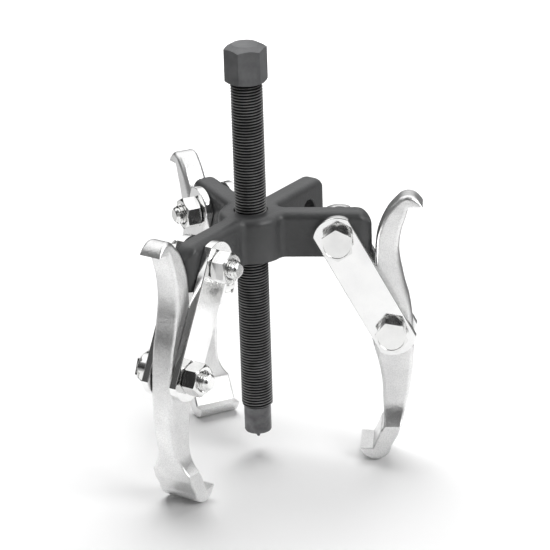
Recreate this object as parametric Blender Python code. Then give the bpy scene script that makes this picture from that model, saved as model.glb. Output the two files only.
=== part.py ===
"""Three-jaw gear puller: a four-armed yoke, a forcing screw and three hooked jaws on link straps.

The frame is in metres with +Z up. The origin is the tip of the centre point under the forcing
screw, on the screw's axis. Leg b hangs from the arm at -Y, legs a and c from the arms at 30 and
150 degrees, and the arm at +Y is left empty for two-jaw work.

Each leg has its own flat frame: x runs outward along the arm, y across it and z up. Bolt heads
are on the -y side of a leg and nuts on the +y side.
"""
import math

import bmesh
import bpy
from mathutils import Matrix, Vector

# ---- driving dimensions, metres ---------------------------------------------------------
GAP = 0.0003                 # space kept between pieces that touch

BOLT_AXIS_Z = 0.1114         # arm bolts above the tip of the centre point
ARM_BELOW = 0.0101           # yoke below its bolt axis
ARM_ABOVE = 0.0133           # yoke above its bolt axis
ARM_HALF = 0.006             # half the thickness of an arm and of a jaw
ARM_END = 0.0602             # reach of an arm from the screw's axis
ARM_END_ROUND = 0.008        # rounding of an arm's outer top corner
ARM_TOP_ROUND = 0.0046       # rounding along an arm's top edges
HUB_RADIUS = 0.0165
HUB_FILLET = 0.004
BOLT_RING = 0.0436           # arm bolts from the screw's axis
ARM_ANGLES = (30, 90, 150, 270)

SCREW_RADIUS = 0.008         # M16 x 1.5 thread, crests
THREAD_END_Z = 0.0184        # lower end of the thread above the tip
HEAD_BASE_Z = 0.1917
HEAD_TOP_Z = 0.2110
HEAD_FLATS = 0.019
HEAD_TURN = 44.3             # degrees from +X to a corner of the head
TIP_RADIUS = 0.0069          # plain turned end of the screw
TIP_BASE_Z = 0.0038
POINT_RADIUS = 0.0022        # hardened pin in the end of the screw
POINT_FLAT = 0.0005          # radius of the small flat on its tip
POINT_TOP_Z = 0.0130

LINK_LENGTH = 0.056          # arm bolt to jaw bolt
STRAP_WIDTH = 0.020
STRAP_THICK = 0.004
STRAP_END_RADIUS = 0.0124    # round ends, about each hole

BOLT_RADIUS = 0.0048         # 9.5 mm class
BOLT_FLATS = 0.0147
BOLT_HEAD = 0.0064
NUT_HEIGHT = 0.008
BOLT_STUB = 0.0044           # thread that stands past the nut

TOE_HALF = 0.0112            # half the width of a jaw's foot
FLARE_TOP = -0.0395          # flare from body to foot, above and below, from the jaw bolt
FLARE_BASE = -0.0516
FLARE_STEPS = 5

# Jaw outline in a leg's x and z, measured from the jaw bolt with the jaw upright.
OUTER_HOOK_TIP = (0.0160, 0.0655)
OUTER_HOOK_ROOT = (0.0096, 0.0649)
OUTER_EDGE = [(0.0087, 0.0640), (0.0076, 0.0601), (0.0057, 0.0544), (0.0044, 0.0482),
              (0.0039, 0.0416), (0.0043, 0.0358), (0.0054, 0.0300), (0.0066, 0.0237),
              (0.0086, 0.0162), (0.0101, 0.0050), (0.0107, -0.0066), (0.0104, -0.0160),
              (0.0099, -0.0233), (0.0083, -0.0348), (0.0057, -0.0463), (0.0026, -0.0564)]
HEEL_CENTRE = (-0.0090, -0.0617)
HEEL_RADIUS = 0.0081
TOE_TOP_Z = -0.0633
TOE_TIP_X = -0.0170
INNER_CORNER_X = -0.0105
INNER_EDGE = [(-0.0065, -0.0542), (-0.0048, -0.0512), (-0.0049, -0.0440), (-0.0053, -0.0361),
              (-0.0054, -0.0294), (-0.0069, -0.0193), (-0.0103, -0.0053), (-0.0106, 0.0040),
              (-0.0102, 0.0140), (-0.0091, 0.0250), (-0.0082, 0.0340), (-0.0079, 0.0416),
              (-0.0076, 0.0461), (-0.0067, 0.0513), (-0.0045, 0.0575), (-0.0012, 0.0636)]
HOOK_TOP = [(0.0026, 0.0680), (0.0055, 0.0706), (0.0088, 0.0715), (0.0121, 0.0706),
            (0.0145, 0.0682)]

# Each leg, in degrees: its arm, its link from straight down, its jaw's foot leaning outward.
LEGS = {"a": (30, 27.9, 0.0), "b": (270, 28.9, 1.6), "c": (150, 24.6, -3.2)}

# Finishes: base colour, roughness, metallic.
FINISHES = {
    "black_paint": ((0.018, 0.018, 0.019), 0.42, 0.0),
    "black_oxide": ((0.028, 0.027, 0.027), 0.36, 0.6),
    "turned_steel": ((0.13, 0.13, 0.13), 0.35, 1.0),
    "plated": ((0.62, 0.62, 0.61), 0.26, 1.0),
    "bright_plated": ((0.70, 0.70, 0.70), 0.18, 1.0),
}


# ---- helpers ------------------------------------------------------------------------------
def material(name, colour, roughness, metallic):
    """A Principled material."""
    mat = bpy.data.materials.new(name)
    mat.use_nodes = True
    shader = mat.node_tree.nodes["Principled BSDF"]
    shader.inputs["Base Color"].default_value = (*colour, 1.0)
    shader.inputs["Roughness"].default_value = roughness
    shader.inputs["Metallic"].default_value = metallic
    return mat


def empty(name, parent=None, location=(0, 0, 0), turn=(0, 0, 0)):
    """A pivot that pieces hang from."""
    pivot = bpy.data.objects.new(name, None)
    pivot.empty_display_size = 0.01
    pivot.location = location
    pivot.rotation_euler = turn
    pivot.parent = parent
    bpy.context.collection.objects.link(pivot)
    return pivot


def piece(name, bm, finish, parent=None, location=(0, 0, 0), turn=(0, 0, 0)):
    """One named sub-part from a bmesh, closed and facing out, with its own material."""
    bmesh.ops.recalc_face_normals(bm, faces=bm.faces)
    mesh = bpy.data.meshes.new(name)
    bm.to_mesh(mesh)
    bm.free()
    mesh.shade_smooth()
    mesh.set_sharp_from_angle(angle=math.radians(32))
    mesh.materials.append(material(name + "_" + finish, *FINISHES[finish]))
    obj = bpy.data.objects.new(name, mesh)
    obj.location = location
    obj.rotation_euler = turn
    obj.parent = parent
    bpy.context.collection.objects.link(obj)
    return obj


def cutter(name, bm, parent=None, location=(0, 0, 0), turn=(0, 0, 0)):
    """A shape that only cuts."""
    obj = piece(name, bm, "black_paint", parent, location, turn)
    obj.hide_render = True
    obj.display_type = "WIRE"
    return obj


def boolean(obj, other, operation="DIFFERENCE"):
    """Cut obj with another object, or keep what they share."""
    mod = obj.modifiers.new(other.name, "BOOLEAN")
    mod.operation = operation
    mod.solver = "EXACT"
    mod.object = other


def arc(centre, radius, start, end, steps):
    """Points on an arc from start to end, in degrees, both ends included."""
    points = []
    for i in range(steps + 1):
        a = math.radians(start + (end - start) * i / steps)
        points.append((centre[0] + radius * math.cos(a), centre[1] + radius * math.sin(a)))
    return points


def smooth_curve(points, steps=3):
    """A Catmull-Rom curve through the points, with a few steps between each pair."""
    ends = [points[0]] + list(points) + [points[-1]]
    curve = []
    for p0, p1, p2, p3 in zip(ends, ends[1:], ends[2:], ends[3:]):
        for i in range(steps):
            t = i / steps
            curve.append(tuple(
                0.5 * (2 * b + (c - a) * t + (2 * a - 5 * b + 4 * c - d) * t * t
                       + (3 * b - a - 3 * c + d) * t ** 3)
                for a, b, c, d in zip(p0, p1, p2, p3)))
    curve.append(tuple(points[-1]))
    return curve


def prism(outline, place, low, high):
    """An outline pulled from low to high. place(u, v, w) gives each point its position."""
    bm = bmesh.new()
    base = bm.faces.new([bm.verts.new(place(u, v, low)) for u, v in outline])
    pulled = bmesh.ops.extrude_face_region(bm, geom=[base])
    shift = Vector(place(0, 0, high)) - Vector(place(0, 0, low))
    moved = [v for v in pulled["geom"] if isinstance(v, bmesh.types.BMVert)]
    bmesh.ops.translate(bm, vec=shift, verts=moved)
    return bm


def upright(u, v, w):
    """Outline in x and y, pulled along z."""
    return (u, v, w)


def across(u, v, w):
    """Outline in x and z, pulled along y."""
    return (u, w, v)


def turned(profile, steps):
    """A solid turned about z from (radius, z) points; ends on the axis are closed."""
    bm = bmesh.new()
    verts = [bm.verts.new((r, 0, z)) for r, z in profile]
    edges = [bm.edges.new(pair) for pair in zip(verts, verts[1:])]
    bmesh.ops.spin(bm, geom=verts + edges, cent=(0, 0, 0), axis=(0, 0, 1),
                   angle=2 * math.pi, steps=steps, use_merge=True)
    bmesh.ops.remove_doubles(bm, verts=bm.verts, dist=1e-6)
    return bm


def hexagon(flats):
    """A hexagon's corners, the first at 0 degrees."""
    return arc((0, 0), flats / math.sqrt(3), 0, 300, 5)


def hex_block(flats, low, high, chamfer_low, chamfer_high):
    """A hexagonal block along z whose corners are turned off at one end or both."""
    bm = prism(hexagon(flats), upright, low, high)
    for z, wanted, sign in ((low, chamfer_low, -1), (high, chamfer_high, 1)):
        if wanted:
            for i in range(6):
                a = math.radians(60 * i)
                edge = Vector((math.cos(a), math.sin(a), 0)) * flats / 2 * 0.97
                slope = Vector((math.cos(a) * 0.5, math.sin(a) * 0.5, sign * 0.866))
                cut = bmesh.ops.bisect_plane(
                    bm, geom=bm.verts[:] + bm.edges[:] + bm.faces[:], dist=1e-7,
                    plane_co=edge + Vector((0, 0, z)), plane_no=slope, clear_outer=True)
                rim = [e for e in cut["geom_cut"] if isinstance(e, bmesh.types.BMEdge)]
                bmesh.ops.holes_fill(bm, edges=rim, sides=0)
    return bm


# ---- yoke -----------------------------------------------------------------------------------
def yoke_plan():
    """Plan outline: arms with round ends, a round hub and fillets where they meet."""
    reach = HUB_RADIUS + HUB_FILLET
    off = ARM_HALF + HUB_FILLET
    lean = math.degrees(math.asin(off / reach))
    along = reach * math.cos(math.radians(lean))
    end = ARM_END - ARM_HALF
    outline = []
    for i, angle in enumerate(ARM_ANGLES):
        nxt = ARM_ANGLES[(i + 1) % len(ARM_ANGLES)] + (360 if i == len(ARM_ANGLES) - 1 else 0)
        local = arc((along, -off), HUB_FILLET, 180 - lean, 90, 4)
        local += arc((end, 0), ARM_HALF, -90, 90, 8)
        local += arc((along, off), HUB_FILLET, 270, 180 + lean, 4)
        turn = Matrix.Rotation(math.radians(angle), 2)
        outline += [tuple(turn @ Vector(p)) for p in local]
        start, stop = angle + lean, nxt - lean
        steps = max(1, round((stop - start) / 10))
        outline += arc((0, 0), HUB_RADIUS, start, stop, steps)[1:-1]
    return outline


def make_yoke():
    """The forged yoke, bored for the screw and drilled for the four arm bolts."""
    low = BOLT_AXIS_Z - ARM_BELOW
    high = BOLT_AXIS_Z + ARM_ABOVE
    bm = prism(yoke_plan(), upright, low, high)
    top = [e for e in bm.edges if all(abs(v.co.z - high) < 1e-7 for v in e.verts)]
    bmesh.ops.bevel(bm, geom=top, offset=ARM_TOP_ROUND, segments=3, affect="EDGES",
                    profile=0.5, material=-1)
    yoke = piece("yoke", bm, "black_paint")

    rim = arc((ARM_END - ARM_END_ROUND, high - ARM_END_ROUND), ARM_END_ROUND + 0.0001, 6, 82, 6)
    limit = turned([(0, low - 0.002), (ARM_END + 0.003, low - 0.002),
                    (ARM_END + 0.003, high - ARM_END_ROUND - 0.001)] + rim
                   + [(0.034, high + 0.003), (0, high + 0.003)], 90)
    boolean(yoke, cutter("yoke_limit", limit), "INTERSECT")

    bore = turned([(0, low - 0.01), (SCREW_RADIUS + GAP, low - 0.01),
                   (SCREW_RADIUS + GAP, high + 0.01), (0, high + 0.01)], 32)
    boolean(yoke, cutter("screw_bore", bore))
    for angle in ARM_ANGLES:
        hole = prism(arc((0, 0), BOLT_RADIUS + GAP, 0, 345, 23), across, -0.012, 0.012)
        turn = math.radians(angle)
        place = (BOLT_RING * math.cos(turn), BOLT_RING * math.sin(turn), BOLT_AXIS_Z)
        boolean(yoke, cutter("arm_hole_%d" % angle, hole, None, place, (0, 0, turn)))


# ---- forcing screw ----------------------------------------------------------------------------
def make_screw():
    """The forcing screw, its hexagon head and the hardened point in its end."""
    chamfer = 0.0010
    pit = POINT_RADIUS + GAP
    profile = [(0, POINT_TOP_Z + GAP), (pit, POINT_TOP_Z + GAP), (pit, TIP_BASE_Z),
               (TIP_RADIUS - chamfer, TIP_BASE_Z), (TIP_RADIUS, TIP_BASE_Z + chamfer),
               (TIP_RADIUS, THREAD_END_Z - 0.0012), (SCREW_RADIUS, THREAD_END_Z + 0.0004),
               (SCREW_RADIUS, HEAD_BASE_Z + 0.001), (0, HEAD_BASE_Z + 0.001)]
    screw = piece("forcing_screw", turned(profile, 32), "black_oxide")
    head = cutter("screw_head_block", hex_block(HEAD_FLATS, HEAD_BASE_Z, HEAD_TOP_Z, True, True),
                  None, (0, 0, 0), (0, 0, math.radians(HEAD_TURN)))
    boolean(screw, head, "UNION")

    pin = [(0, 0), (POINT_FLAT, 0), (POINT_RADIUS, TIP_BASE_Z - GAP),
           (POINT_RADIUS, POINT_TOP_Z), (0, POINT_TOP_Z)]
    piece("centre_point", turned(pin, 20), "turned_steel")


# ---- links ------------------------------------------------------------------------------------
def strap_outline():
    """A flat strap hanging from its upper hole: straight sides and round ends."""
    half = STRAP_WIDTH / 2
    corner = math.degrees(math.asin(half / STRAP_END_RADIUS))
    lower = arc((0, -LINK_LENGTH), STRAP_END_RADIUS, 270 - corner, 270 + corner, 10)
    upper = arc((0, 0), STRAP_END_RADIUS, 90 - corner, 90 + corner, 10)
    return lower + upper


def make_strap(name, side, link):
    """A strap on the -y side (side -1) or the +y side (side 1) of the arm and jaw."""
    inner = side * (ARM_HALF + GAP)
    outer = side * (ARM_HALF + GAP + STRAP_THICK)
    bm = prism(strap_outline(), across, min(inner, outer), max(inner, outer))
    rims = [e for e in bm.edges if abs(e.verts[0].co.y - outer) < 1e-7
            and abs(e.verts[1].co.y - outer) < 1e-7]
    bmesh.ops.bevel(bm, geom=rims, offset=0.0004, segments=1, affect="EDGES",
                    profile=0.5, material=-1)
    strap = piece(name, bm, "bright_plated", link)
    for tag, z in (("upper", 0), ("lower", -LINK_LENGTH)):
        hole = prism(arc((0, 0), BOLT_RADIUS + GAP, 0, 345, 23), across, -0.016, 0.016)
        boolean(strap, cutter("%s_%s_hole" % (name, tag), hole, link, (0, 0, z)))


def make_bolt(names, link, z, spin):
    """A hexagon bolt through both straps, its head on the -y side, and its nut."""
    bolt_name, nut_name = names
    stack = ARM_HALF + GAP + STRAP_THICK + GAP
    length = 2 * stack + NUT_HEIGHT + BOLT_STUB
    chamfer = 0.0010
    shank = turned([(0, BOLT_HEAD - 0.001), (BOLT_RADIUS, BOLT_HEAD - 0.001),
                    (BOLT_RADIUS, BOLT_HEAD + length - chamfer),
                    (BOLT_RADIUS - chamfer, BOLT_HEAD + length), (0, BOLT_HEAD + length)], 24)
    along = (math.radians(-90), math.radians(spin), 0)
    place = (0, -stack - BOLT_HEAD, z)
    bolt = piece(bolt_name, shank, "bright_plated", link, place, along)
    head = hex_block(BOLT_FLATS, 0, BOLT_HEAD, True, False)
    boolean(bolt, cutter(bolt_name + "_head_block", head, link, place, along), "UNION")

    block = hex_block(BOLT_FLATS, 0, NUT_HEIGHT, True, True)
    nut = piece(nut_name, block, "bright_plated", link, (0, stack, z), along)
    hole = turned([(0, -0.002), (BOLT_RADIUS + GAP, -0.002),
                   (BOLT_RADIUS + GAP, NUT_HEIGHT + 0.002), (0, NUT_HEIGHT + 0.002)], 24)
    boolean(nut, cutter(nut_name + "_hole", hole, link, (0, stack, z), along))


# ---- jaws ---------------------------------------------------------------------------------------
def jaw_outline():
    """Side outline of a jaw: outer edge down to the heel, round the toe, and up inside."""
    outer = [OUTER_HOOK_ROOT] + smooth_curve(OUTER_EDGE, 2)
    heel = arc(HEEL_CENTRE, HEEL_RADIUS, -5, -163, 10)
    toe = [(TOE_TIP_X, TOE_TOP_Z), (INNER_CORNER_X, TOE_TOP_Z)]
    inner = smooth_curve(INNER_EDGE + HOOK_TOP + [OUTER_HOOK_TIP], 2)
    return outer + heel + toe + inner


def half_width(z):
    """Half the jaw's width at a height: the body, the flare and the wide foot."""
    if z >= FLARE_TOP:
        return ARM_HALF
    if z <= FLARE_BASE:
        return TOE_HALF
    rise = TOE_HALF - ARM_HALF
    drop = FLARE_TOP - FLARE_BASE
    radius = (drop * drop + rise * rise) / (2 * rise)
    return ARM_HALF + radius - math.sqrt(radius * radius - (FLARE_TOP - z) ** 2)


def make_jaw(name, pivot):
    """A forged jaw that hangs from the jaw bolt, with its foot flared to the sides."""
    bm = prism(jaw_outline(), across, -1, 1)
    for i in range(FLARE_STEPS + 1):
        z = FLARE_TOP + (FLARE_BASE - FLARE_TOP) * i / FLARE_STEPS
        bmesh.ops.bisect_plane(bm, geom=bm.verts[:] + bm.edges[:] + bm.faces[:], dist=1e-7,
                               plane_co=(0, 0, z), plane_no=(0, 0, 1))
    levels = [FLARE_TOP + (FLARE_BASE - FLARE_TOP) * i / FLARE_STEPS
              for i in range(FLARE_STEPS + 1)]
    for vert in bm.verts:
        width = half_width(vert.co.z)
        for top, base in zip(levels, levels[1:]):
            if base < vert.co.z < top:
                share = (top - vert.co.z) / (top - base)
                width = half_width(top) + share * (half_width(base) - half_width(top))
        vert.co.y *= width
    jaw = piece(name, bm, "plated", pivot)
    hole = prism(arc((0, 0), BOLT_RADIUS + GAP, 0, 345, 23), across, -0.012, 0.012)
    boolean(jaw, cutter(name + "_hole", hole, pivot))


def make_leg(letter, angle, link_angle, lean):
    """One leg: two straps, two bolts with nuts, and a jaw."""
    frame = empty("leg_%s" % letter, None, (0, 0, 0), (0, 0, math.radians(angle)))
    swing = math.radians(link_angle)
    link = empty("link_%s_pivot" % letter, frame, (BOLT_RING, 0, BOLT_AXIS_Z), (0, -swing, 0))
    make_strap("strap_%s_head_side" % letter, -1, link)
    make_strap("strap_%s_nut_side" % letter, 1, link)
    make_bolt(("arm_bolt_%s" % letter, "arm_nut_%s" % letter), link, 0, 55)
    make_bolt(("jaw_bolt_%s" % letter, "jaw_nut_%s" % letter), link, -LINK_LENGTH, 38)
    jaw = empty("jaw_%s_pivot" % letter, link, (0, 0, -LINK_LENGTH),
                (0, swing - math.radians(lean), 0))
    make_jaw("jaw_%s" % letter, jaw)


# ---- the puller ---------------------------------------------------------------------------------
for old in list(bpy.data.objects):
    bpy.data.objects.remove(old, do_unlink=True)

make_yoke()
make_screw()
for leg_letter, leg_pose in LEGS.items():
    make_leg(leg_letter, *leg_pose)
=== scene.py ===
# %% [markdown]
# # A three-jaw gear puller
# A puller takes a gear off its shaft. Three hooked jaws reach behind the gear, and a long screw
# pushes on the end of the shaft. This lesson builds the tool piece by piece over a plain CAD
# frame that already knows where everything sits and how it moves. We keep the frame's sizes and
# give each piece the roundings, threads and metal finish of the real thing.

# %% Load the frame
import math

import bmesh
import bpy
from mathutils import Matrix, Vector


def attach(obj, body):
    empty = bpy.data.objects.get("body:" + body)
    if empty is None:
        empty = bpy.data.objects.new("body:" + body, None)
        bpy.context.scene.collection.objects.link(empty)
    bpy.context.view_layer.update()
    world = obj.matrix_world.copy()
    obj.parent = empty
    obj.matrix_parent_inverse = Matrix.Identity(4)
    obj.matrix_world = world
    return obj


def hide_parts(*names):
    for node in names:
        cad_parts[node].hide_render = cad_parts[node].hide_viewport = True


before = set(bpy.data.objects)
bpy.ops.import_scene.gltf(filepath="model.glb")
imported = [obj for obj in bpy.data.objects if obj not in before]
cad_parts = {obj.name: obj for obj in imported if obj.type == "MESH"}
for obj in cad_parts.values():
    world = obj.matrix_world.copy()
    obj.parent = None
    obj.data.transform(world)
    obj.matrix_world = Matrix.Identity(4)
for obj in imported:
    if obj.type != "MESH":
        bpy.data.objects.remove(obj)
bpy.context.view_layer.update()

# %% [markdown]
# ## The camera
# The tool is seen from a little above through a long lens, which keeps the near and far jaws
# almost the same size. A long lens far away was chosen over a short lens close by because the
# edges of the arms then stay nearly parallel. The tool leans a touch to the left in the frame,
# so the camera is rolled by the same small angle.

# %% Camera
CAMERA_PLACE = Vector((0.7506, -1.0646, 0.6152))
CAMERA_TARGET = Vector((0.0091, 0.0063, 0.0889))
CAMERA_ROLL = -1.82

camera_data = bpy.data.cameras.new("camera")
camera_data.lens = 182.6
camera_data.sensor_width = 36.0
camera = bpy.data.objects.new("camera", camera_data)
aim = (CAMERA_TARGET - CAMERA_PLACE).to_track_quat("-Z", "Y").to_matrix().to_4x4()
roll = Matrix.Rotation(math.radians(CAMERA_ROLL), 4, "Z")
camera.matrix_world = Matrix.Translation(CAMERA_PLACE) @ aim @ roll
bpy.context.scene.collection.objects.link(camera)
bpy.context.scene.camera = camera
print("camera distance", round((CAMERA_TARGET - CAMERA_PLACE).length, 4))

# %% [markdown]
# ## Floor and light
# Bright metal shows whatever surrounds it, so the room matters as much as the metal. A wide soft
# box hangs above and behind, and a smaller key box stands high on the right. The floor is pale,
# and metal sees only its inner disc. What metal sees beyond that disc is the world: bright
# overhead, grey at the horizon, with a few soft dark patches. Those patches draw the crisp dark
# edges on plated steel. To the camera the world is white, and to matt surfaces it is a soft grey.
# The overhead box lights the tool but isn't seen in it, because its mirror image would burn out
# every rounded edge.

# %% Floor
# Heights and distances are in metres.
FLOOR_Z = -0.0088
INNER_FLOOR = 0.38
INNER_SHIFT = (0.142, -0.206)
OUTER_FLOOR = 6.0
FLOOR_GREY = 0.92
DISC_SIDES = 96
GLOW_START = 0.42
GLOW_END = 1.1


def floor_material():
    """Plain pale floor that glows softly far out, where the lamps fade."""
    mat = bpy.data.materials.new("pale_floor")
    mat.use_nodes = True
    shader = mat.node_tree.nodes["Principled BSDF"]
    shader.inputs["Base Color"].default_value = (FLOOR_GREY, FLOOR_GREY, FLOOR_GREY, 1)
    shader.inputs["Roughness"].default_value = 1.0
    shader.inputs["Specular IOR Level"].default_value = 0.0
    shader.inputs["Emission Color"].default_value = (1, 1, 1, 1)
    nodes, links = mat.node_tree.nodes, mat.node_tree.links
    reach = nodes.new("ShaderNodeVectorMath")
    reach.operation = "LENGTH"
    links.new(nodes.new("ShaderNodeTexCoord").outputs["Object"], reach.inputs[0])
    far = nodes.new("ShaderNodeMapRange")
    far.interpolation_type = "SMOOTHSTEP"
    links.new(reach.outputs["Value"], far.inputs["Value"])
    far.inputs["From Min"].default_value = GLOW_START
    far.inputs["From Max"].default_value = GLOW_END
    links.new(far.outputs["Result"], shader.inputs["Emission Strength"])
    return mat


def floor_ring(name, inner, outer):
    """A flat disc, or a ring with a shifted hole where inner is above zero."""
    bm = bmesh.new()
    bmesh.ops.create_circle(bm, cap_ends=not inner, radius=outer, segments=DISC_SIDES)
    if inner:
        edges = bm.edges[:]
        grown = bmesh.ops.extrude_edge_only(bm, edges=edges)
        verts = [v for v in grown["geom"] if isinstance(v, bmesh.types.BMVert)]
        bmesh.ops.scale(bm, vec=(inner / outer, inner / outer, 1), verts=verts)
        bmesh.ops.translate(bm, vec=(*INNER_SHIFT, 0), verts=verts)
    else:
        bmesh.ops.translate(bm, vec=(*INNER_SHIFT, 0), verts=bm.verts)
    bmesh.ops.translate(bm, vec=(0, 0, FLOOR_Z), verts=bm.verts)
    mesh = bpy.data.meshes.new(name)
    bm.to_mesh(mesh)
    bm.free()
    mesh.materials.append(bpy.data.materials.get("pale_floor") or floor_material())
    obj = bpy.data.objects.new(name, mesh)
    bpy.context.scene.collection.objects.link(obj)
    return obj


floor_inner = floor_ring("floor_inner", 0, INNER_FLOOR)
floor_outer = floor_ring("floor_outer", INNER_FLOOR, OUTER_FLOOR)
floor_outer.visible_glossy = False
floor_outer.visible_diffuse = False
print("floor at", FLOOR_Z)

# %% World
# Each stop of the ramp is (half of the height of the direction plus a half, brightness). Each
# patch is a direction as the camera sees it, and the cosine of the angle where the patch ends.
ROOM_FILL = 0.14
ROOM_RAMP = [(0.0, 0.50), (0.46, 0.45), (0.53, 0.18), (0.62, 0.28), (0.70, 0.85), (0.85, 1.3)]
DARK_PATCHES = [((-0.84, -0.33, 0.43), 0.955), ((-0.75, 0.64, 0.19), 0.965),
                ((0.80, 0.58, 0.19), 0.965), ((0.10, -0.80, 0.60), 0.80),
                ((0.0, 0.93, -0.37), 0.90)]
PATCH_LEVEL = 0.10
BOUNCE_PATCH = ((-0.74, 0.55, -0.38), 0.93)
BOUNCE_LEVEL = 0.7
PATCH_FADE = (0.05, 0.01)
VIEW_TURN = math.radians(34.7)


def from_view(x, y, z):
    """A direction given as right, away and up for the camera, in the tool's own frame."""
    return Matrix.Rotation(VIEW_TURN, 3, "Z") @ Vector((x, y, z))


def world_maths(nodes, links, operation, a, b):
    """A Math node between two sockets of the world."""
    node = nodes.new("ShaderNodeMath")
    node.operation = operation
    links.new(a, node.inputs[0])
    links.new(b, node.inputs[1])
    return node.outputs[0]


def room_patch(nodes, links, where, direction, edge, outside, inside):
    """A soft round patch of the room: one level outside it and another inside."""
    dot = nodes.new("ShaderNodeVectorMath")
    dot.operation = "DOT_PRODUCT"
    links.new(where, dot.inputs[0])
    dot.inputs[1].default_value = from_view(*direction).normalized()
    patch = nodes.new("ShaderNodeMapRange")
    patch.interpolation_type = "SMOOTHSTEP"
    links.new(dot.outputs["Value"], patch.inputs["Value"])
    patch.inputs["From Min"].default_value = edge - PATCH_FADE[0]
    patch.inputs["From Max"].default_value = edge + PATCH_FADE[1]
    patch.inputs["To Min"].default_value = outside
    patch.inputs["To Max"].default_value = inside
    return patch.outputs["Result"]


def room_in_reflections(nodes, links, where):
    """Brightness of the room by height, with dark patches, as metal sees it."""
    height = nodes.new("ShaderNodeSeparateXYZ")
    links.new(where, height.inputs[0])
    half = nodes.new("ShaderNodeMath")
    half.operation = "MULTIPLY_ADD"
    links.new(height.outputs["Z"], half.inputs[0])
    half.inputs[1].default_value = 0.5
    half.inputs[2].default_value = 0.5
    ramp = nodes.new("ShaderNodeValToRGB")
    stops = ramp.color_ramp.elements
    while len(stops) < len(ROOM_RAMP):
        stops.new(0.5)
    for stop, (position, level) in zip(stops, ROOM_RAMP):
        stop.position = position
        stop.color = (level, level, level, 1)
    links.new(half.outputs[0], ramp.inputs[0])
    level = ramp.outputs["Color"]
    for direction, edge in DARK_PATCHES:
        patch = room_patch(nodes, links, where, direction, edge, 1.0, PATCH_LEVEL)
        level = world_maths(nodes, links, "MULTIPLY", level, patch)
    bounce = room_patch(nodes, links, where, *BOUNCE_PATCH, 0.0, BOUNCE_LEVEL)
    return world_maths(nodes, links, "MAXIMUM", level, bounce)


def make_world():
    """White to the camera, grey to matt surfaces, shaped light and dark in reflections."""
    world = bpy.data.worlds.new("studio")
    world.use_nodes = True
    nodes, links = world.node_tree.nodes, world.node_tree.links
    background = nodes["Background"]
    path = nodes.new("ShaderNodeLightPath")
    where = nodes.new("ShaderNodeTexCoord").outputs["Generated"]
    fill = nodes.new("ShaderNodeMix")
    fill.inputs[2].default_value = ROOM_FILL
    links.new(room_in_reflections(nodes, links, where), fill.inputs[3])
    seen = nodes.new("ShaderNodeMix")
    seen.inputs[3].default_value = 1.0
    links.new(path.outputs["Is Glossy Ray"], fill.inputs[0])
    links.new(fill.outputs[0], seen.inputs[2])
    links.new(path.outputs["Is Camera Ray"], seen.inputs[0])
    links.new(seen.outputs[0], background.inputs["Strength"])
    background.inputs["Color"].default_value = (1, 1, 1, 1)
    bpy.context.scene.world = world


make_world()
bpy.context.scene.view_settings.view_transform = "Standard"
print("world", bpy.context.scene.world.name)

# %% Soft boxes
# Place as the camera sees it, width, depth, watts.
LIGHT_AIM = from_view(0, 0, 0.10)
OVERHEAD_BOX = ((0.0, 0.62, 1.25), 1.2, 1.3, 24.0)
KEY_BOX = ((1.0, -0.72, 0.85), 0.8, 0.8, 9.5)


def soft_box(name, place, width, depth, watts):
    """A rectangular soft light that faces the tool from a place given as the camera sees it."""
    data = bpy.data.lights.new(name, "AREA")
    data.shape = "RECTANGLE"
    data.size, data.size_y, data.energy = width, depth, watts
    box = bpy.data.objects.new(name, data)
    here = from_view(*place)
    turn = (LIGHT_AIM - here).to_track_quat("-Z", "Y").to_matrix().to_4x4()
    box.matrix_world = Matrix.Translation(here) @ turn
    bpy.context.scene.collection.objects.link(box)
    return box


overhead = soft_box("overhead_box", *OVERHEAD_BOX)
overhead.visible_glossy = False
soft_box("key_box", *KEY_BOX)

# %% [markdown]
# ## Shared surface effects
# Every finish here is metal or paint over metal, and they share three small effects: a fine
# skin left by casting, forging or plating, broad smudges that vary the polish, and fine lines
# left by drawing or turning. Each is a node group made once. It puts out only a height or a
# mask, and every material decides what to do with it.

# %% Node helpers
def link(tree, source, target):
    """Join two sockets."""
    tree.links.new(source, target)


def new_group(name, inputs, outputs):
    """An empty node group with float inputs and outputs, plus a Vector input."""
    group = bpy.data.node_groups.new(name, "ShaderNodeTree")
    group.interface.new_socket("Vector", in_out="INPUT", socket_type="NodeSocketVector")
    for label, value in inputs:
        socket = group.interface.new_socket(label, in_out="INPUT",
                                            socket_type="NodeSocketFloat")
        socket.default_value = value
    for label in outputs:
        group.interface.new_socket(label, in_out="OUTPUT", socket_type="NodeSocketFloat")
    return group, group.nodes.new("NodeGroupInput"), group.nodes.new("NodeGroupOutput")


def noise(tree, vector, scale, detail, roughness=0.5):
    """A noise texture read on a vector; scale is a number or a socket."""
    node = tree.nodes.new("ShaderNodeTexNoise")
    link(tree, vector, node.inputs["Vector"])
    if isinstance(scale, (int, float)):
        node.inputs["Scale"].default_value = scale
    else:
        link(tree, scale, node.inputs["Scale"])
    node.inputs["Detail"].default_value = detail
    node.inputs["Roughness"].default_value = roughness
    return node.outputs["Fac"]


def remap(tree, value, low, high, to_low=0.0, to_high=1.0):
    """Map Range, clamped."""
    node = tree.nodes.new("ShaderNodeMapRange")
    link(tree, value, node.inputs["Value"])
    for label, number in (("From Min", low), ("From Max", high),
                          ("To Min", to_low), ("To Max", to_high)):
        node.inputs[label].default_value = number
    return node.outputs["Result"]


def maths(tree, operation, a, b):
    """A Math node; a and b are sockets or numbers."""
    node = tree.nodes.new("ShaderNodeMath")
    node.operation = operation
    for i, value in enumerate((a, b)):
        if isinstance(value, (int, float)):
            node.inputs[i].default_value = value
        else:
            link(tree, value, node.inputs[i])
    return node.outputs[0]


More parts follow.
